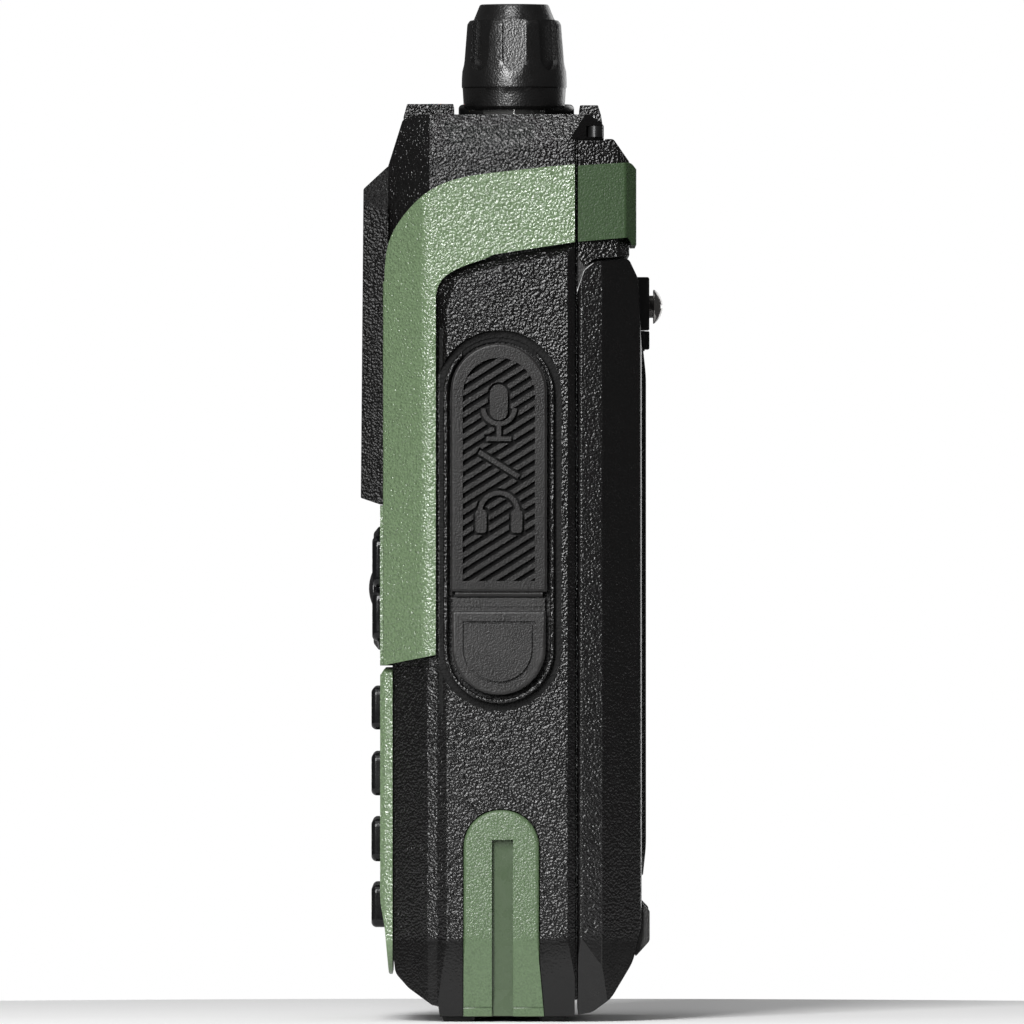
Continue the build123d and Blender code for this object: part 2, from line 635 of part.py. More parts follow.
def jack_sockets():
    body = block((20.0, CAVITY_HALF - 0.05), (-6.4, 2.8), (64.5, 86.0))
    for z, radius in JACKS:
        body += across(Pos(SIDE_Y, z) * Circle(3.0), CAVITY_HALF - 1, JACK_END)
        body -= across(Pos(SIDE_Y, z) * Circle(radius), 21.0, JACK_END + 1)
    return body


def side_bumper():
    """Green rubbing strip with a long slot, on the +X side."""
    body = across(bumper_face(), BUMPER_FACE - BUMPER_DEPTH, BUMPER_FACE)
    rim = body.faces().sort_by(Axis.X)[-1].edges()
    body = fillet([edge for edge in rim if edge.center().Z > 2], 0.6)
    body -= side_taper(BUMPER_FACE)
    floor = BUMPER_FACE - 1.2
    slot = outline((floor, 24.95), (floor, TAPER_TOP), (floor - TAPER, BOTTOM), (floor - TAPER, -1.0),
                   (33, -1.0), (33, 24.95))
    body -= through(slot, -2.75, 0.15)
    step = BUMPER_FACE - TAPER * (TAPER_TOP - 1.95) / (TAPER_TOP - BOTTOM) - 0.15
    return body - block((step, 32), (-10, 10), (1.85, 2.05))


def base_feet():
    feet = []
    for side in (-1, 1):
        for y_low, y_high, lean in ((-9.6, -5.0, 0.2), (3.6, 7.5, 0.4)):
            face = outline((y_low, BOTTOM), (y_low + lean, 0.0), (y_high - lean, 0.0), (y_high, BOTTOM))
            feet.append(across(face, side * 22 - 4.5, side * 22 + 4.5))
    return feet


# --- Knob, switch, antenna ------------------------------------------------------------

def volume_knob():
    profile = outline(
        (SHAFT_RADIUS, 125.9), (5.9, 125.9), (5.9, 125.15), (6.6, 125.15), (6.95, 125.6, 0.3), (7.1, 128.1),
        (7.22, 128.3), (7.2, 129.6, 2.0), (6.65, 136.9, 0.4), (6.3, 137.4, 0.3), (5.55, 137.55, 0.2),
        (5.2, 138.4, 1.0), (4.7, 139.65, 0.4), (3.0, 139.7), (0, 139.7), (0, 134.0), (SHAFT_RADIUS, 134.0))
    body = revolve(Plane.XZ * profile, Axis.Z)
    for index in range(KNOB_FLUTES):
        face = Pos(0, 138.0) * SlotOverall(15.2, 3.3, rotation=90)
        flute = extrude(Plane.YZ * face, amount=4)
        flute = Pos(6.15, 0, 0) * Pos(0, 0, 130) * Rot(0, -4.5, 0) * Pos(0, 0, -130) * flute
        body -= Rot(0, 0, index * 360 / KNOB_FLUTES) * flute
    return Pos(*KNOB_AT, 0) * body


def knob_shaft():
    shaft = upright(Circle(SHAFT_RADIUS), 118.0, 134.0)
    return Pos(*KNOB_AT, 0) * shaft


def rotary_switch_body():
    x, y = KNOB_AT
    body = block((x - 5.6, x + 5.6), (y - 5.6, y + 5.5), (111.5, 120.9))
    body += upright(Pos(x, y) * Circle(BUSH_RADIUS), 120.5, 125.8)
    return body - upright(Pos(x, y) * Circle(SHAFT_RADIUS + SHAFT_CLEARANCE), 117.8, 130)


def knob_nut():
    nut = upright(Pos(*KNOB_AT) * RegularPolygon(5.0, 6), DECK, 125.7)
    return nut - upright(Pos(*KNOB_AT) * Circle(BUSH_RADIUS), 120, 130)


def antenna_connector():
    x, y = ANTENNA_AT
    body = block((x - 5.5, x + 5.5), (y - 5.5, y + 5.5), (118.0, 120.9))
    body += upright(Pos(x, y) * Circle(ANTENNA_NECK), 120.0, COLLAR_TOP)
    body += upright(Pos(x, y) * Circle(ANTENNA_RADIUS), COLLAR_TOP - 1, 132.0)
    return body - upright(Pos(x, y) * Circle(0.9), 125.0, 133.0)


def antenna_collar():
    ring = upright(Pos(*ANTENNA_AT) * Circle(8.0), DECK, COLLAR_TOP)
    ring = fillet(ring.faces().sort_by(Axis.Z)[-1].edges(), 0.6)
    return ring - upright(Pos(*ANTENNA_AT) * Circle(ANTENNA_NECK), 120, 130)


def status_lamp():
    face = outline((-11.75, 124.6), (-9.4, 124.6), (-9.5, 126.2, 0.2), (-11.65, 126.2, 0.2))
    return across(face, -2.2, 2.2)


# --- Inside the radio ------------------------------------------------------------

def main_board():
    board = block((-BOARD_HALF, BOARD_HALF), (BOARD_FRONT, BOARD_BACK), (11.4, 110.6))
    for x, z in POSTS:
        board -= post(x, z, 1.1, -20, 0)
    return board


def board_screws():
    screws = []
    for x, z in POSTS:
        head = post(x, z, 1.25, BOARD_FRONT - 0.8, BOARD_FRONT)
        screws.append(head + post(x, z, 0.85, BOARD_FRONT - 0.1, -6.0))
    return screws


def shield_can():
    can = block((-17.5, 17.5), (BOARD_BACK, -5.2), (60.0, 100.0))
    return can - block((-17.1, 17.1), (BOARD_BACK - 1, -5.6), (60.4, 99.6))


def chassis_plate():
    """Cast chassis: a back plate with side walls, screw posts and battery lugs."""
    body = block((-26.8, 26.8), (6.1, CHASSIS_BACK), (4.2, 117.4))
    for side in (-1, 1):
        wall = block((side * 26.0 - 0.7, side * 26.0 + 0.7), (BOARD_BACK + 0.1, 6.2), (12.0, 110.4))
        body += wall - block((-40, 40), (-12, 5.6), (43.0, 94.0))
    for x, z in POSTS:
        column = post(x, z, 1.9, BOARD_BACK, 6.2)
        body += column - post(x, z, 0.85, BOARD_BACK - 1, -5.9)
    for x, z in CASE_SCREWS:
        body -= post(x, z, 1.3, 5, 10)
        body -= post(x, z, 2.3, 7.4, 10)
    for side in (-1, 1):
        for level in LUG_LEVELS:
            x = side * LUG_X
            body += block((x - 1.0, x + 1.0), (CHASSIS_BACK - 0.2, 11.3), (level, level + LUG_LENGTH))
            body += block((x - 2.1, x + 2.1), (10.5, 11.5), (level, level + LUG_LENGTH))
    for x in (-8.0, 0.0, 8.0):
        body -= block((x - 1.7, x + 1.7), (5, 10), (10.2, 15.8))
    return body


def case_screws():
    screws = []
    for x, z in CASE_SCREWS:
        screws.append(post(x, z, 2.2, 7.4, 8.3) + post(x, z, 1.05, -5.0, 7.5))
    return screws


def radio_contacts():
    """Spring blades that meet the battery's contact pads."""
    return [block((x - 1.3, x + 1.3), (5.2, 8.95), (10.6, 15.4)) for x in (-8.0, 0.0, 8.0)]


def microphone():
    return post(0, MIC_Z, 2.0, CAVITY_FRONT, -12.2)


# --- Battery ------------------------------------------------------------

def pack_silhouette(inset=0.0):
    """The battery seen from the side, optionally shrunk towards its middle."""
    return outline(
        (SPLIT_REAR, 0.95 + inset), (11.0 - 0.3 * inset, 1.3 + inset, 2.0),
        (13.6 - 0.6 * inset, 3.2 + inset, 4.0), (16.6 - inset, 8.2 + 0.5 * inset, 6.0),
        (PACK_BACK - inset, 13.4, 6.0), (PACK_BACK - inset, 92.0, 10.0),
        (17.25 - inset, 102.0, 1.5), (16.0 - inset, 104.65 - inset, 0.8), (11.4, 104.15 - inset, 1.2),
        (9.9, 103.0 - inset, 1.2), (SPLIT_REAR, 100.4 - inset, 1.0))


def battery_shell():
    outer = mirrored((PACK_SIDE - 0.25, SPLIT_REAR, 0.3), (PACK_SIDE, 9.5, 0.4), (PACK_SIDE - 0.4, 12.4, 0.8),
                     (25.2, PACK_BACK, 1.4))
    inner = mirrored((27.7, SPLIT_REAR - 1), (27.7, 12.2), (24.2, PACK_BACK - 1.5))
    body = upright(outer, 0, 110) & across(pack_silhouette(), -40, 40)
    for wedge in both_sides(side_taper(PACK_SIDE)):
        body -= wedge
    room = upright(inner, 3.4, 101.2) & across(pack_silhouette(1.5), -40, 40)
    room += upright(inner, 3.4, 101.2) & block((-40, 40), (SPLIT_REAR - 2, 11), (4.4, 99.4))
    body -= room
    body += back_panel()
    for x in (-CLIP_SPACING / 2, CLIP_SPACING / 2):
        body -= post(x, CLIP_Z, 1.3, 15, 30)
    body -= latch_channel()
    for x, z in charge_places():
        body -= post(x, z, 1.6, 14, 30)
    return body


def back_panel():
    """Crowned panel on the battery's back."""
    face = outline((PACK_BACK - 0.4, 19.6), (PACK_BACK + 0.2, 20.1, 0.2), (18.4, 24.0, 20), (18.4, 88.5, 20),
                   (PACK_BACK + 0.2, 92.4, 0.2), (PACK_BACK - 0.4, 92.9))
    panel = across(face, -22.0, 22.0)
    return panel & through(mirrored((22.0, 19.6, 3.0), (22.0, 92.9, 3.0)), 15, 20)


def battery_cover_plate():
    """Plate that closes the battery towards the radio, with keyhole windows for the lugs."""
    plate = block((-27.5, 27.5), (SPLIT_REAR + 0.05, 10.2), (4.6, 99.2))
    for side in (-1, 1):
        for level in LUG_LEVELS:
            x = side * LUG_X
            plate -= block((x - 1.35, x + 1.35), (5, 12), (level - 0.4, level + 6.0))
            plate -= block((x - 2.45, x + 2.45), (5, 12), (level + 5.6, level + SLIDE_TRAVEL + 5.6))
    for x in (-8.0, 0.0, 8.0):
        plate -= block((x - 2.0, x + 2.0), (5, 12), (9.6, 24.4))
    return plate


def battery_contacts():
    """Three pads in the cover plate, long enough to stay under the blades while the battery slides,
    and two charging studs in its back."""
    pads = [block((x - 2.0, x + 2.0), (SPLIT_REAR + 0.05, 9.8), (9.6, 24.4)) for x in (-8.0, 0.0, 8.0)]
    studs = [post(x, z, 1.6, 15.6, 17.35) for x, z in charge_places()]
    return pads + studs


def battery_cells():
    return [block((side * 11.0 - 10.7, side * 11.0 + 10.7), (10.3, 15.9), (18.0, 90.0)) for side in (-1, 1)]


def charge_places():
    return [(x, 11.6) for x in (-9.0, 9.0)]


def battery_rest_pads():
    face = outline((PACK_BACK - 0.15, 16.4), (18.9, 15.1, 0.3), (18.9, 11.0, 1.0), (17.0, 8.9), (16.7, 9.3),
                   (17.5, 12.6), (17.75, 14.0))
    solid = across(face, -4.0, 4.0)
    pads = []
    for x in (-19.5, 19.5):
        pad = Pos(x, 0, 0) * solid
        pads.append(pad - battery_shell())
    return pads


def clip_mount_block():
    face = outline((16.9, 95.0), (16.9, 102.2), (CLIP_BACK, 102.2, 0.3), (CLIP_BACK, 95.0))
    body = across(face, -13.0, 13.0)
    body -= battery_shell()
    for x in (-CLIP_SPACING / 2, CLIP_SPACING / 2):
        body -= post(x, CLIP_Z, 1.25, 10, 30)
    return body


def clip_screws():
    screws = []
    for x in (-CLIP_SPACING / 2, CLIP_SPACING / 2):
        dome = Pos(x, 19.55 - 1.65, CLIP_Z) * Sphere(2.87)
        head = dome & post(x, CLIP_Z, 2.3, 19.5, 22)
        screw = head + post(x, CLIP_Z, 1.5, CLIP_BACK, 19.55) + post(x, CLIP_Z, 1.25, 14.5, 19)
        slot_one = Pos(x, 20.9, CLIP_Z) * Box(0.5, 0.9, 2.4)
        slot_two = Pos(x, 20.9, CLIP_Z) * Box(2.4, 0.9, 0.5)
        screws.append(screw - slot_one - slot_two)
    return screws


def latch_channel():
    """Guide track for the battery latch in the battery's back."""
    return block((-6.2, 6.2), (16.95, 19.5), (89.9, 94.95))


def battery_latch():
    body = block((-6.0, 6.0), (17.0, 18.3), (92.1, 94.85))
    thumb = across(outline((18.2, 92.3), (18.95, 92.3, 0.2), (18.95, 94.8, 0.2), (18.2, 94.8)), -5.4, 5.4)
    return body + thumb


# --- Output ------------------------------------------------------------

def all_parts():
    parts = {
        "front_housing": front_housing(),
        "trim_frame": trim_frame(),
        "rear_top_cover": rear_top_cover(),
        "rear_trim_band": rear_trim_band(),
        "display_bezel": display_bezel(),
        "display_lens": display_lens(),
        "lcd_module": lcd_module(),
        "speaker_grille_mesh": speaker_grille_mesh(),
        "speaker": speaker(),
        "keypad_bezel": keypad_bezel(),
        "keypad_mat": keypad_mat(),
        "nav_ring": nav_ring(),
        "nav_ok_button": nav_ok_button(),
        "jack_cover_flap": jack_cover_flap(),
        "jack_cover_anchor": jack_cover_anchor(),
        "jack_sockets": jack_sockets(),
        "side_bumpers": both_sides(side_bumper()),
        "base_feet": base_feet(),
        "volume_knob": volume_knob(),
        "knob_shaft": knob_shaft(),
        "rotary_switch_body": rotary_switch_body(),
        "knob_nut": knob_nut(),
        "antenna_connector": antenna_connector(),
        "antenna_collar": antenna_collar(),
        "status_lamp": status_lamp(),
        "lanyard_post": lanyard_post(),
        "microphone": microphone(),
        "main_board": main_board(),
        "board_screws": board_screws(),
        "shield_can": shield_can(),
        "chassis_plate": chassis_plate(),
        "case_screws": case_screws(),
        "radio_contacts": radio_contacts(),
        "battery_shell": battery_shell(),
        "battery_cover_plate": battery_cover_plate(),
        "battery_cells": battery_cells(),
        "battery_contacts": battery_contacts(),
        "battery_rest_pads": battery_rest_pads(),
        "clip_mount_block": clip_mount_block(),
        "clip_screws": clip_screws(),
        "battery_latch": battery_latch(),
    }
    for name, (x, z) in zip(KEY_NAMES, key_places()):
        parts[name] = number_key(x, z)
    function_names = ["function_key_upper_left", "function_key_upper_right",
                      "function_key_lower_left", "function_key_lower_right"]
    for name, (x, z) in zip(function_names, function_places()):
        parts[name] = function_key(x, z)
    for name, (z_low, z_high) in side_buttons().items():
        parts[name] = side_button(z_low, z_high)
    return parts


os.makedirs("parts", exist_ok=True)
for node, shape in all_parts().items():
    solids = shape if isinstance(shape, list) else [shape]
    bodies = [solid for item in solids for solid in item.solids()]
    export_step(Compound(children=bodies) if len(bodies) > 1 else bodies[0], f"parts/{node}.step")
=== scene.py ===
import math

import bpy
from mathutils import Matrix, Vector


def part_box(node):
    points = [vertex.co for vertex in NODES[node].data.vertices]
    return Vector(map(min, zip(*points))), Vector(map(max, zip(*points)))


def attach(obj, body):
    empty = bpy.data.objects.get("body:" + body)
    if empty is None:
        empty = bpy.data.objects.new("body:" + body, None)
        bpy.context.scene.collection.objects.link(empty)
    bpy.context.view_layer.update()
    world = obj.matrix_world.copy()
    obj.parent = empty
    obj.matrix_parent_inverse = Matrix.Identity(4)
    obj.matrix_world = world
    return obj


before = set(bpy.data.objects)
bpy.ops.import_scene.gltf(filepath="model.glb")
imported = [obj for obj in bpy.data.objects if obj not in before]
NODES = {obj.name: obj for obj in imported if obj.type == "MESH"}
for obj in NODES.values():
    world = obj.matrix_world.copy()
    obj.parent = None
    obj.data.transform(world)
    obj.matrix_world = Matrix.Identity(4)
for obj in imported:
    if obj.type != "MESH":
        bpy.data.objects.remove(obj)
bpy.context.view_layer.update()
MM = 0.001
GRAIN_CELL = 0.37 * MM          # size of one pebble of the moulded leather grain
FINE_CELL = 0.30 * MM           # and of the finer grain on the bumpers and the knob
SMOOTH_BELOW = 11.5 * MM        # the moulded grain stops here, above the tapered foot
SOFT_BORDER = 0.6 * MM          # half of the height over which it fades out
REAR_FADE = (-4 * MM, 8 * MM)   # from front to back, where the grain grows shallower

# Regions with a finish or a painted shade of their own, as (middle, half of the width) along an axis.
# The ring round the jack cover, which gets painted shade.
COVER_RING = {"X": (29.0 * MM, 0.6 * MM), "Y": (-1.45 * MM, 8.5 * MM), "Z": (68.7 * MM, 26.3 * MM)}
# The bumper's slot, which gets painted shade up to its top.
BUMPER_SLOT_Y = (-1.3 * MM, 1.43 * MM)
BUMPER_SLOT_TOP = (24.8 * MM, 25.0 * MM)
ACTIVE_AREA = {"X": (0, 16.5 * MM), "Z": (86.6 * MM, 9.6 * MM)}


# --- Material building -----------------------------------------------------------

class Shader:
    """A new material with its Principled node, and short ways to add and link nodes."""

    def __init__(self, name):
        self.material = bpy.data.materials.new(name)
        self.material.use_nodes = True
        self.tree = self.material.node_tree
        self.surface = self.tree.nodes["Principled BSDF"]
        self.place = self.add("ShaderNodeTexCoord").outputs["Object"]

    def add(self, kind, **values):
        node = self.tree.nodes.new(kind)
        for key, value in values.items():
            if hasattr(node, key):
                setattr(node, key, value)
            else:
                node.inputs[key.replace("_", " ")].default_value = value
        return node

    def link(self, source, target):
        self.tree.links.new(source, target)
        return target.node

    def set(self, **values):
        for key, value in values.items():
            self.surface.inputs[key.replace("_", " ")].default_value = value
        return self

    def axes(self):
        """The object's own X, Y and Z, by name."""
        node = self.add("ShaderNodeSeparateXYZ")
        self.link(self.place, node.inputs[0])
        return node.outputs

    def noise(self, size, detail=2.0, roughness=0.5, stretch=(1, 1, 1)):
        """Noise whose features are about size metres across."""
        scaled = self.add("ShaderNodeMapping", vector_type="POINT")
        scaled.inputs["Scale"].default_value = stretch
        self.link(self.place, scaled.inputs["Vector"])
        node = self.add("ShaderNodeTexNoise", Scale=1 / size, Detail=detail, Roughness=roughness)
        self.link(scaled.outputs["Vector"], node.inputs["Vector"])
        return node.outputs["Fac"]

    def cells(self, size, feature="SMOOTH_F1"):
        """Rounded cells about size metres across."""
        node = self.add("ShaderNodeTexVoronoi", feature=feature, Scale=1 / size)
        if feature == "SMOOTH_F1":
            node.inputs["Smoothness"].default_value = 0.2
        self.link(self.place, node.inputs["Vector"])
        return node.outputs["Distance"]

    def remap(self, value, low, high, new_low, new_high):
        """Value taken in a straight line from low..high to new_low..new_high, and held at the ends."""
        node = self.add("ShaderNodeMapRange")
        ends = {"From Min": low, "From Max": high, "To Min": new_low, "To Max": new_high}
        for key, number in ends.items():
            node.inputs[key].default_value = number
        self.link(value, node.inputs["Value"])
        return node.outputs["Result"]

    def sum(self, first, second, weight=1.0):
        """First, plus second times weight."""
        node = self.add("ShaderNodeMath", operation="MULTIPLY_ADD")
        node.inputs[1].default_value = weight
        self.link(second, node.inputs[0])
        self.link(first, node.inputs[2])
        return node.outputs[0]

    def product(self, first, second):
        node = self.add("ShaderNodeMath", operation="MULTIPLY")
        self.link(first, node.inputs[0])
        self.link(second, node.inputs[1])
        return node.outputs[0]

    def absolute(self, value):
        node = self.add("ShaderNodeMath", operation="ABSOLUTE")
        self.link(value, node.inputs[0])
        return node.outputs[0]

    def inside(self, value, middle, half, edge=0.05 * MM):
        """1 where value is within half of middle, else 0, with a narrow soft edge."""
        node = self.add("ShaderNodeMath", operation="SUBTRACT")
        node.inputs[1].default_value = middle
        self.link(value, node.inputs[0])
        return self.remap(self.absolute(node.outputs[0]), half - edge, half + edge, 1, 0)

    def blend(self, amount, first, second):
        """Colour that goes from first to second with amount. Either may be a colour or a socket."""
        node = self.add("ShaderNodeMix", data_type="RGBA")
        self.link(amount, node.inputs["Factor"])
        for value, socket in ((first, node.inputs[6]), (second, node.inputs[7])):
            if isinstance(value, tuple):
                socket.default_value = (*value, 1)
            else:
                self.link(value, socket)
        return node.outputs[2]

    def colour(self, value):
        self.link(value, self.surface.inputs["Base Color"])

    def roughness(self, value):
        self.link(value, self.surface.inputs["Roughness"])

    def bump(self, height, depth, strength=1.0):
        """Bump of the height field, depth metres from its lowest to its highest value."""
        node = self.add("ShaderNodeBump", Strength=strength, Distance=depth)
        self.link(height, node.inputs["Height"])
        self.link(node.outputs["Normal"], self.surface.inputs["Normal"])

    def edge_wear(self, low=0.56, high=0.70):
        """From 0 to 1 on convex edges, where handling polishes and pales the surface."""
        geometry = self.add("ShaderNodeNewGeometry")
        edge = self.remap(geometry.outputs["Pointiness"], low, high, 0, 1)
        return self.product(edge, self.remap(self.noise(3 * MM, 3), 0.35, 0.7, 0, 1))


def shade(colour, factor):
    return tuple(channel * factor for channel in colour)


def grained(name, base, grain_depth, rough=(0.16, 0.22), cell=GRAIN_CELL, specular=0.5, rear_grain=1.0,
            grooved=False, slotted=False):
    """Moulded plastic with a fine leather grain that fades out near the foot and towards the rear.

    Where grooved, the ring round the jack cover is dull and painted dark, a painted shade in the groove.
    Where slotted, the bumper's slot is nearly smooth and painted darker than the rest, a painted shade in the
    slot.
    """
    shader = Shader(name).set(Specular_IOR_Level=specular)
    pebbles = shader.cells(cell)
    ripples = shader.noise(cell * 0.8, 1.5, 0.5)
    height = shader.sum(ripples, pebbles, -0.8)
    axes = shader.axes()
    shown = shader.remap(axes["Z"], SMOOTH_BELOW - SOFT_BORDER, SMOOTH_BELOW + SOFT_BORDER, 0.12, 1)
    fading = shader.remap(axes["Y"], *REAR_FADE, 1, rear_grain)
    grain = shader.product(shader.product(height, shown), fading)
    if slotted:
        below = shader.remap(axes["Z"], *BUMPER_SLOT_TOP, 1, 0)
        slot = shader.product(below, shader.inside(axes["Y"], *BUMPER_SLOT_Y))
        grain = shader.product(grain, shader.remap(slot, 0, 1, 1, 0.1))
    shader.bump(grain, grain_depth)
    blotches = shader.noise(9 * MM, 3)
    tone = shader.blend(shader.remap(blotches, 0.3, 0.7, 0, 1), base, shade(base, 1.03))
    # Painted shade: the low parts of the grain are painted at 0.7 of the base colour, darker than its tops.
    tops = shader.remap(ripples, 0.3, 0.6, 0, 1)
    face = shader.blend(tops, shade(base, 0.7), tone)
    gloss = shader.remap(shader.noise(1.5 * MM, 2), 0.3, 0.7, *rough)
    if grooved:
        along = shader.product(shader.inside(axes["Y"], *COVER_RING["Y"]),
                               shader.inside(axes["Z"], *COVER_RING["Z"]))
        groove = shader.product(along, shader.inside(shader.absolute(axes["X"]), *COVER_RING["X"]))
        # Painted shade: the groove round the jack cover is painted at 0.3 of the base colour.
        face = shader.blend(groove, face, shade(base, 0.3))
        gloss = shader.sum(gloss, groove, 0.6)
    if slotted:
        # Painted shade: the bumper's slot is painted at 0.62 of the base colour.
        face = shader.blend(slot, face, shade(base, 0.62))
    shader.colour(face)
    shader.roughness(gloss)
    return shader.material


def satin(name, base, rough=(0.25, 0.4), depth=0.004 * MM, specular=0.5, size=0.25 * MM):
    """Smooth moulded plastic with a trace of tool marks and smudges."""
    shader = Shader(name).set(Specular_IOR_Level=specular)
    fine = shader.noise(size, 2)
    smudges = shader.noise(5 * MM, 4, 0.6)
    shader.bump(fine, depth)
    worn = tuple(min(1, channel * 2.2 + 0.01) for channel in base)
    shader.colour(shader.blend(shader.edge_wear(), base, worn))
    shader.roughness(shader.remap(smudges, 0.3, 0.7, *rough))
    return shader.material


def rubber(name, base, valley_shade=None, specular=0.35):
    """Soft matte rubber with a powdery bloom.

    Valley shade gives two distances from the middle along X: inside the first the surface is dull and
    painted dark, a painted shade in the valleys between the ribs, and outside the second it has its full
    colour.
    """
    shader = Shader(name).set(Specular_IOR_Level=specular, Sheen_Weight=0.12, Sheen_Roughness=0.5)
    dust = shader.noise(0.24 * MM, 1.5, 0.6)
    bloom = shader.noise(4 * MM, 4, 0.6)
    shader.bump(dust, 0.045 * MM)
    tone = shader.blend(shader.remap(bloom, 0.35, 0.7, 0, 1), base, shade(base, 1.35))
    speck = shader.remap(shader.noise(0.2 * MM, 1), 0.62, 0.75, 0, 0.5)
    face = shader.blend(speck, tone, shade(base, 2.0))
    dull = shader.remap(bloom, 0.3, 0.7, 0.30, 0.40)
    if valley_shade:
        raised = shader.remap(shader.axes()["X"], *valley_shade, 0, 1)
        # Painted shade: the deep valleys between the ribs are painted at 0.1 of the base colour.
        face = shader.blend(raised, shade(base, 0.1), face)
        dull = shader.sum(dull, shader.remap(raised, 0, 1, 0.4, 0), 1.0)
    shader.colour(face)
    shader.roughness(dull)
    return shader.material


def metal(name, base, rough=(0.12, 0.28), stretch=(1, 1, 1), depth=0.003 * MM):
    """Bare or plated metal with fine scratches."""
    shader = Shader(name).set(Metallic=1.0)
    scratches = shader.noise(0.2 * MM, 3, 0.6, stretch)
    tarnish = shader.noise(2.5 * MM, 3)
    shader.bump(scratches, depth)
    shader.colour(shader.blend(shader.remap(tarnish, 0.35, 0.75, 0, 1), base, shade(base, 0.75)))
    shader.roughness(shader.remap(scratches, 0.3, 0.7, *rough))
    return shader.material


def window(name):
    """Hard-coated dark display window, a little paler over the display's active area."""
    shader = Shader(name).set(Specular_IOR_Level=0.6, Coat_Weight=0.6, Coat_Roughness=0.04)
    haze = shader.noise(9 * MM, 3)
    axes = shader.axes()
    width = shader.inside(axes["X"], *ACTIVE_AREA["X"])
    height = shader.inside(axes["Z"], *ACTIVE_AREA["Z"])
    dark = shader.blend(haze, (0.008, 0.009, 0.009), (0.012, 0.014, 0.013))
    shader.colour(shader.blend(shader.product(width, height), dark, (0.050, 0.062, 0.050)))
    shader.roughness(shader.remap(haze, 0.3, 0.7, 0.06, 0.14))
    shader.bump(shader.noise(0.6 * MM, 1), 0.0006 * MM)
    return shader.material


def circuit(name):
    """Green solder mask over tracks, with dark lines between them."""
    shader = Shader(name).set(Coat_Weight=0.3)
    tracks = shader.remap(shader.cells(2.2 * MM, "DISTANCE_TO_EDGE"), 0.02, 0.06, 0, 1)
    shader.colour(shader.blend(tracks, (0.02, 0.10, 0.035), (0.012, 0.16, 0.05)))
    shader.roughness(shader.remap(shader.noise(3 * MM), 0.3, 0.7, 0.25, 0.4))
    shader.bump(tracks, 0.02 * MM)
    return shader.material


def lamp_lens(name):
    """Pale translucent light-guide plastic."""
    shader = Shader(name).set(Subsurface_Weight=0.3, Subsurface_Scale=0.002, Specular_IOR_Level=0.5)
    frost = shader.noise(0.4 * MM, 2)
    shader.colour(shader.blend(frost, (0.32, 0.34, 0.35), (0.5, 0.52, 0.52)))
    shader.roughness(shader.remap(frost, 0.3, 0.7, 0.3, 0.45))
    shader.bump(frost, 0.01 * MM)
    return shader.material


BLACK = (0.0042, 0.0040, 0.0040)
GREEN = (0.126, 0.184, 0.099)
BUMPER_GREEN = (0.088, 0.134, 0.070)
# Painted shade: the trim's green painted darker for the rear band, which faces away from the light.
PAINTED_SHADE_GREEN = (0.038, 0.066, 0.030)
MATERIALS = {
    "black_grain": grained("black_grain", BLACK, 0.145 * MM, specular=0.37, rear_grain=0.75, grooved=True),
    "battery_grain": grained("battery_grain", BLACK, 0.08 * MM, (0.22, 0.28), specular=0.42),
    "bezel_grain": grained("bezel_grain", BLACK, 0.10 * MM, (0.22, 0.28), specular=0.16),
    "green_grain": grained("green_grain", GREEN, 0.15 * MM, (0.14, 0.20), specular=0.8, rear_grain=0.75),
    "green_fine": grained("green_fine", BUMPER_GREEN, 0.08 * MM, (0.24, 0.32), FINE_CELL, 0.45, slotted=True),
    # Painted shade: a darker copy of the trim's green, for the rear band.
    "green_painted_shade": grained("green_painted_shade", PAINTED_SHADE_GREEN, 0.05 * MM, (0.36, 0.44), FINE_CELL, 0.2),
    "black_satin": satin("black_satin", (0.004, 0.004, 0.004), (0.28, 0.42), 0.006 * MM),
    "key_black": satin("key_black", (0.004, 0.004, 0.0045), (0.14, 0.28), 0.003 * MM, 0.3),
    "knob_black": grained("knob_black", (0.004, 0.0038, 0.0038), 0.03 * MM, (0.27, 0.35), FINE_CELL, 0.6),
    # Flap rubber with painted shade in the valleys between its ribs.
    "flap_rubber": rubber("flap_rubber", (0.0085, 0.0080, 0.0078), (29.5 * MM, 30.0 * MM), 0.26),
    "rubber": rubber("rubber", (0.0095, 0.009, 0.0088)),
    "silicone": rubber("silicone", (0.35, 0.35, 0.34)),
    "chrome": metal("chrome", (0.30, 0.29, 0.28)),
    "steel": metal("steel", (0.55, 0.55, 0.54), (0.2, 0.4), (1, 1, 6)),
    "brass": metal("brass", (0.80, 0.58, 0.27), (0.15, 0.3)),
    "cast": metal("cast", (0.52, 0.53, 0.54), (0.4, 0.6), depth=0.05 * MM),
    "window": window("window"),
    "circuit": circuit("circuit"),
    "lamp": lamp_lens("lamp"),
    "legend": satin("legend", (0.72, 0.72, 0.70), (0.4, 0.5)),
    "wrap": satin("wrap", (0.02, 0.05, 0.16), (0.2, 0.35)),
}

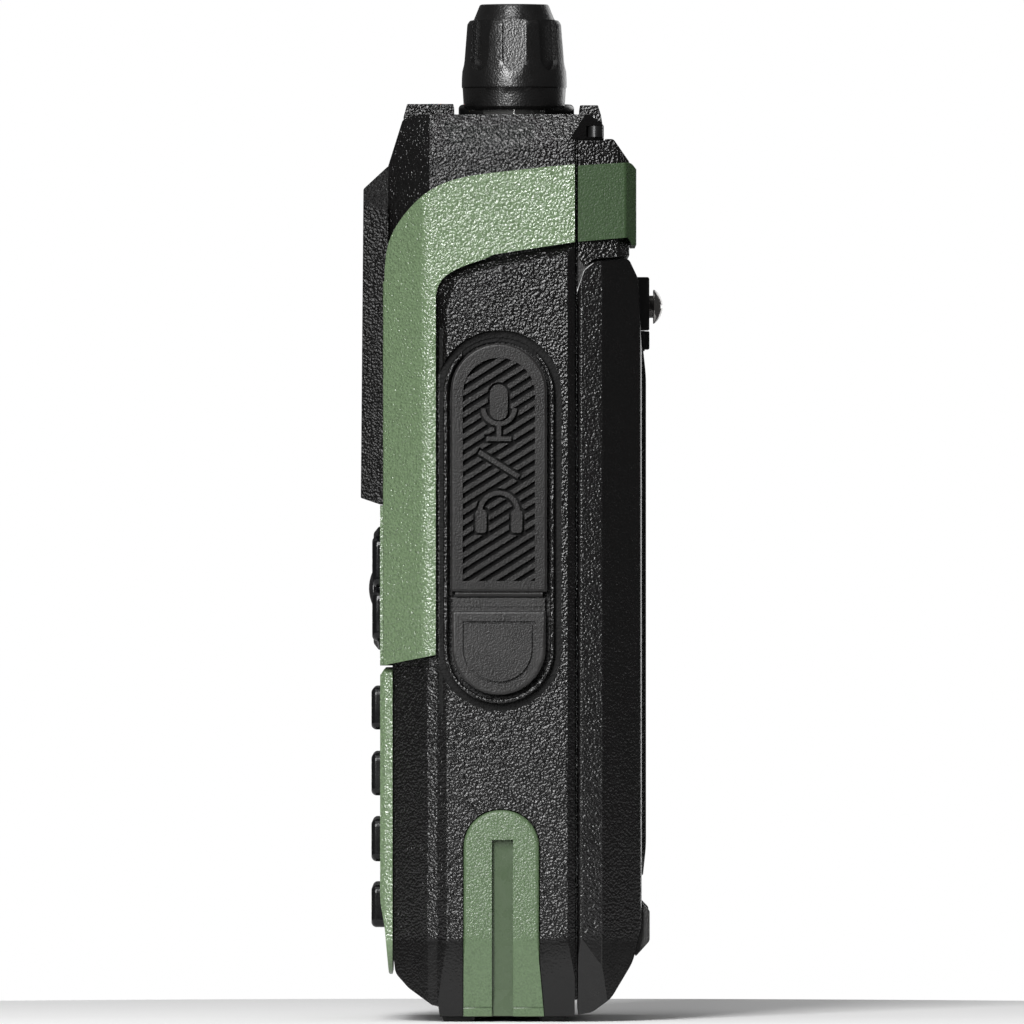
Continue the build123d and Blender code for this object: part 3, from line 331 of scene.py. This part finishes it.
KEYS = [name for name in NODES if name.startswith("key_")]
FUNCTION_KEYS = [name for name in NODES if name.startswith("function_key")]
SIDE_KEYS = ["ptt_button", "side_key_upper", "side_key_lower"]
DRESS = {
    "black_grain": ["front_housing", "rear_top_cover"],
    "bezel_grain": ["display_bezel"],
    "battery_grain": ["battery_shell"],
    "green_grain": ["trim_frame", "keypad_bezel"],
    "green_fine": ["side_bumpers"],
    # The rear band wears the painted shade of the trim's green.
    "green_painted_shade": ["rear_trim_band"],
    "black_satin": ["clip_mount_block", "battery_latch", "battery_cover_plate", "jack_sockets",
                    "rotary_switch_body", "speaker", "microphone", "antenna_collar", "lanyard_post"],
    "key_black": KEYS + FUNCTION_KEYS + ["nav_ring", "nav_ok_button"],
    "knob_black": ["volume_knob"],
    "flap_rubber": ["jack_cover_flap"],
    "rubber": ["jack_cover_anchor", "base_feet", "battery_rest_pads"] + SIDE_KEYS,
    "silicone": ["keypad_mat"],
    "chrome": ["clip_screws"],
    "steel": ["board_screws", "case_screws", "knob_nut", "speaker_grille_mesh", "shield_can", "knob_shaft"],
    "brass": ["antenna_connector", "radio_contacts", "battery_contacts"],
    "cast": ["chassis_plate"],
    "window": ["display_lens", "lcd_module"],
    "circuit": ["main_board"],
    "lamp": ["status_lamp"],
    "wrap": ["battery_cells"],
}


def dress():
    """Gives every carried-over part its finish."""
    for name, nodes in DRESS.items():
        for node in nodes:
            piece = NODES[node]
            for slot in piece.material_slots:
                slot.link = "OBJECT"
                slot.material = MATERIALS[name]


def soften(node, width, segments=2, angle=28):
    """Rounds a part's sharp edges, as every moulded edge is, and shades it smoothly."""
    piece = NODES[node]
    mesh = piece.data
    if "custom_normal" in mesh.attributes:
        mesh.attributes.remove(mesh.attributes["custom_normal"])
    mesh.shade_smooth()
    weld = piece.modifiers.new("weld", "WELD")
    weld.merge_threshold = 0.001 * MM
    merge = piece.modifiers.new("merge", "DECIMATE")
    merge.decimate_type = "DISSOLVE"
    merge.angle_limit = math.radians(0.5)
    bevel = piece.modifiers.new("bevel", "BEVEL")
    bevel.width = width
    bevel.segments = segments
    bevel.limit_method = "ANGLE"
    bevel.angle_limit = math.radians(angle)
    bevel.miter_outer = "MITER_ARC"
    bevel.use_clamp_overlap = True
    normals = piece.modifiers.new("normals", "WEIGHTED_NORMAL")
    normals.keep_sharp = False
    normals.weight = 100


SOFT_EDGES = {
    0.22 * MM: ["front_housing", "battery_shell", "rear_top_cover", "display_bezel", "keypad_bezel"],
    0.30 * MM: ["trim_frame", "rear_trim_band"],
    0.12 * MM: ["side_bumpers", "jack_cover_anchor", "clip_mount_block", "battery_latch",
                "volume_knob", "antenna_collar", "battery_rest_pads", "base_feet", "clip_screws",
                "status_lamp", "knob_nut", "antenna_connector", "nav_ring",
                *KEYS, *FUNCTION_KEYS, *SIDE_KEYS],
}


# --- Details that ride on the CAD parts ------------------------------------------------

PROUD = 0.04 * MM               # printed marks stand this far off the surface
SUNK = 0.05 * MM                # and reach this far into it
SWAP_XY = Matrix(((0, 1, 0, 0), (1, 0, 0, 0), (0, 0, 1, 0), (0, 0, 0, 1)))


def add_piece(name, mesh, material, body):
    """A new piece that moves with a body and takes its finish from a slot."""
    piece = bpy.data.objects.new(name, mesh)
    bpy.context.scene.collection.objects.link(piece)
    mesh.materials.append(MATERIALS[material])
    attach(piece, body)


def prism(name, outlines, front, back):
    """Mesh of closed (x, z) outlines, each drawn out along Y between two planes."""
    corners, faces = [], []
    for outline in outlines:
        first, count = len(corners), len(outline)
        corners += [(x, y, z) for y in (front, back) for x, z in outline]
        faces.append([first + i for i in range(count)])
        faces.append([first + count + i for i in reversed(range(count))])
        for i in range(count):
            j = (i + 1) % count
            faces.append([first + j, first + i, first + count + i, first + count + j])
    mesh = bpy.data.meshes.new(name)
    mesh.from_pydata(corners, [], faces)
    return mesh


def side_prism(name, outlines, left, right):
    """Mesh of closed (y, z) outlines, each drawn out along X between two planes."""
    mesh = prism(name, outlines, left, right)
    mesh.transform(SWAP_XY)
    mesh.flip_normals()
    return mesh


def letters(name, text, height, middle, front):
    """Mesh of upright characters facing -Y, centred on middle (x, z)."""
    curve = bpy.data.curves.new(name, "FONT")
    curve.body = text
    curve.size = height
    curve.extrude = (PROUD + SUNK) / 2
    curve.resolution_u = 3
    curve.align_x = curve.align_y = "CENTER"
    holder = bpy.data.objects.new(name + "_curve", curve)
    bpy.context.scene.collection.objects.link(holder)
    mesh = bpy.data.meshes.new_from_object(holder.evaluated_get(bpy.context.evaluated_depsgraph_get()))
    bpy.data.objects.remove(holder)
    centre = Matrix.Translation((middle[0], front - (PROUD - SUNK) / 2, middle[1]))
    mesh.transform(centre @ Matrix.Rotation(math.pi / 2, 4, "X"))
    return mesh


def face_of(node):
    """Middle (x, z) and front plane of a key."""
    low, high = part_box(node)
    return ((low.x + high.x) / 2, (low.z + high.z) / 2), low.y


def key_legends():
    """Digits, star and hash on the number keys."""
    marks = {"key_star": "*", "key_hash": "#", **{f"key_{digit}": str(digit) for digit in range(10)}}
    for node, mark in marks.items():
        middle, front = face_of(node)
        mesh = letters(f"{node}_legend", mark, 4.6 * MM, middle, front)
        add_piece(f"{node}_legend", mesh, "legend", node)


def disc_outline(middle, radius, steps=20):
    turns = [2 * math.pi * step / steps for step in range(steps)]
    return [(middle[0] + radius * math.cos(turn), middle[1] + radius * math.sin(turn)) for turn in turns]


def bar_outline(middle, half_width, half_height):
    x, z = middle
    return [(x - half_width, z - half_height), (x + half_width, z - half_height),
            (x + half_width, z + half_height), (x - half_width, z + half_height)]


def function_icons():
    """Plain signs on the four function keys: a bar, a dot, two bars, and a bar under a dot."""
    bar, dot = (1.9 * MM, 0.28 * MM), 0.7 * MM
    signs = {
        "function_key_upper_left": lambda x, z: [bar_outline((x, z), *bar)],
        "function_key_upper_right": lambda x, z: [disc_outline((x, z), dot)],
        "function_key_lower_left": lambda x, z: [bar_outline((x, z + 0.7 * MM), *bar),
                                                 bar_outline((x, z - 0.7 * MM), *bar)],
        "function_key_lower_right": lambda x, z: [bar_outline((x, z - 0.9 * MM), *bar),
                                                  disc_outline((x, z + 0.6 * MM), dot)],
    }
    for node, sign in signs.items():
        middle, front = face_of(node)
        mesh = prism(f"{node}_icon", sign(*middle), front - PROUD, front + SUNK)
        add_piece(f"{node}_icon", mesh, "legend", node)


def navigation_arrows():
    """Four small arrowheads round the navigation ring."""
    (x, z), front = face_of("nav_ring")
    reach, size, root = 6.0 * MM, 0.75 * MM, 0.35 * MM
    outlines = []
    for quarter in range(4):
        turn = quarter * math.pi / 2
        cosine, sine = math.cos(turn), math.sin(turn)
        arrow = [(reach + size, 0), (reach - size, size), (reach - size, -size)]
        outlines.append([(x + u * cosine - v * sine, z + u * sine + v * cosine) for u, v in arrow])
    mesh = prism("navigation_arrows", outlines, front - PROUD, front + root)
    add_piece("navigation_arrows", mesh, "legend", "nav_ring")


def antenna_thread():
    """Ridges of the antenna thread, standing just proud of the plain connector."""
    low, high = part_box("antenna_connector")
    x, y = (low.x + high.x) / 2, (low.y + high.y) / 2
    crest, root, pitch = 3.33 * MM, 3.05 * MM, 0.8 * MM
    ridges, steps = 6, 48
    start = high.z - 5.4 * MM
    corners, faces = [], []
    for ridge in range(ridges):
        base = start + ridge * pitch
        first = len(corners)
        for radius, height in ((root, base), (crest, base + 0.4 * pitch), (root, base + 0.8 * pitch)):
            for step in range(steps):
                turn = 2 * math.pi * step / steps
                corners.append((x + radius * math.cos(turn), y + radius * math.sin(turn), height))
        for ring in range(3):
            for step in range(steps):
                nearby = (step + 1) % steps
                here, above = first + ring * steps, first + (ring + 1) % 3 * steps
                faces.append([here + step, here + nearby, above + nearby, above + step])
    mesh = bpy.data.meshes.new("antenna_thread")
    mesh.from_pydata(corners, [], faces)
    add_piece("antenna_thread", mesh, "brass", "radio")


def seam_fillers():
    """Dark sheet on the right between the battery's top edge and the rear top cover, a painted shade in the
    seam.

    It closes the seam to light. Its lower rear edge follows the battery's shoulder.
    """
    front, back, top = 8.7, 10.6, 105.4
    inner, outer = 24.0 * MM, 27.8 * MM
    shoulder = [(front, 100.3), (9.03, 100.5), (9.58, 102.1), (9.8, 102.85), (10.1, 103.25), (back, 103.65)]
    outline = [(y * MM, z * MM) for y, z in [*shoulder, (back, top), (front, top)]]
    # A dark sheet standing in for the shade in the seam.
    add_piece("seam_fillers", side_prism("seam_fillers", [outline], inner, outer), "rubber", "radio")


def bumper_slot_floors():
    """Green floor at the foot of each bumper's slot, where the slot reaches the housing behind it."""
    inner, foot_face, top_face = 28.0 * MM, 28.46 * MM, 28.44 * MM
    front, back = -2.8 * MM, 0.2 * MM
    foot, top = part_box("side_bumpers")[0].z + 0.05 * MM, 4.4 * MM
    outline = [(inner, foot), (foot_face, foot), (top_face, top), (inner, top)]
    for side, name in ((1, "slot_floor_right"), (-1, "slot_floor_left")):
        mesh = prism(name, [[(side * x, z) for x, z in outline]], front, back)
        if side < 0:
            mesh.flip_normals()
        add_piece(name, mesh, "green_fine", "radio")


def talk_button_ribs():
    """Grip ribs across the push-to-talk button."""
    low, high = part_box("ptt_button")
    middle_y, middle_z = (low.y + high.y) / 2, (low.z + high.z) / 2
    spacing, half_length, half_height = 2.4 * MM, 3.6 * MM, 0.45 * MM
    height, root = 0.3 * MM, 0.4 * MM
    outlines = [bar_outline((middle_y, middle_z + row * spacing), half_length, half_height)
                for row in range(-4, 5)]
    mesh = side_prism("ptt_grip_ribs", outlines, low.x - height, low.x + root)
    add_piece("ptt_grip_ribs", mesh, "rubber", "ptt_button")


# --- Stage -------------------------------------------------------------------------

FLOOR_RADIUS = 0.16             # small, so that little light bounces back up from it
CAMERA_REACH = 4.0              # camera's distance from the middle of the radio
FRAME_WIDTH = 0.1403            # what the picture spans at the radio's near face
NEAR_FACE = 0.030
CAMERA_HEIGHT = 0.06987


def softbox(name, place, target, size, power):
    data = bpy.data.lights.new(name, "AREA")
    data.shape = "RECTANGLE"
    data.size, data.size_y = size
    data.energy = power
    lamp = bpy.data.objects.new(name, data)
    lamp.location = place
    lamp.rotation_euler = (Vector(target) - Vector(place)).to_track_quat("-Z", "Y").to_euler()
    bpy.context.scene.collection.objects.link(lamp)


def studio():
    """Pale floor and surroundings, with softboxes above the camera, overhead and behind the radio.

    The surroundings look white to the camera but light the radio faintly, so the black stays black.
    """
    middle = (0, 0, 0.07)
    softbox("key", (0.70, -0.19, 0.38), (0, 0, 0.08), (0.17, 0.54), 8.6)
    softbox("head_light", (0.60, -0.08, 0.68), (0.028, 0, 0.121), (0.12, 0.10), 0.9)
    softbox("front_window", (1.4, -1.0, 0.35), middle, (0.5, 0.9), 0.4)
    softbox("rim_panel", (-0.75, 0.42, 0.16), middle, (0.4, 0.7), 1.6)
    softbox("top_panel", (0.1, -0.1, 1.0), middle, (0.5, 0.5), 2.0)
    world = bpy.data.worlds.new("surroundings")
    bpy.context.scene.world = world
    world.use_nodes = True
    nodes, links = world.node_tree.nodes, world.node_tree.links
    light = nodes["Background"]
    light.inputs["Color"].default_value = (1, 1, 1, 1)
    light.inputs["Strength"].default_value = 0.10
    backdrop = nodes.new("ShaderNodeBackground")
    backdrop.inputs["Color"].default_value = (1, 1, 1, 1)
    backdrop.inputs["Strength"].default_value = 1.0
    path = nodes.new("ShaderNodeLightPath")
    chosen = nodes.new("ShaderNodeMixShader")
    links.new(path.outputs["Is Camera Ray"], chosen.inputs[0])
    links.new(light.outputs[0], chosen.inputs[1])
    links.new(backdrop.outputs[0], chosen.inputs[2])
    links.new(chosen.outputs[0], nodes["World Output"].inputs["Surface"])
    bpy.ops.mesh.primitive_circle_add(vertices=96, radius=FLOOR_RADIUS, fill_type="NGON", location=(0, 0, 0))
    floor = bpy.context.active_object
    floor.name = "floor"
    paint = Shader("floor").set(Roughness=0.8, Specular_IOR_Level=0.2)
    paint.colour(paint.blend(paint.noise(0.05), (0.90, 0.90, 0.90), (0.94, 0.94, 0.94)))
    floor.data.materials.append(paint.material)


def camera():
    """Long lens looking at the jack-cover side, level with the middle of the radio."""
    data = bpy.data.cameras.new("camera")
    data.sensor_width = 36
    data.lens = data.sensor_width * (CAMERA_REACH - NEAR_FACE) / FRAME_WIDTH
    data.clip_start, data.clip_end = 0.05, 20
    eye = bpy.data.objects.new("camera", data)
    eye.location = (CAMERA_REACH, 0, CAMERA_HEIGHT)
    eye.rotation_euler = (math.pi / 2, 0, math.pi / 2)
    bpy.context.scene.collection.objects.link(eye)
    bpy.context.scene.camera = eye


bpy.context.scene.view_settings.view_transform = "Standard"
dress()
for rounding, nodes in SOFT_EDGES.items():
    for node in nodes:
        soften(node, rounding)
key_legends()
function_icons()
navigation_arrows()
antenna_thread()
seam_fillers()
bumper_slot_floors()
talk_button_ribs()
studio()
camera()
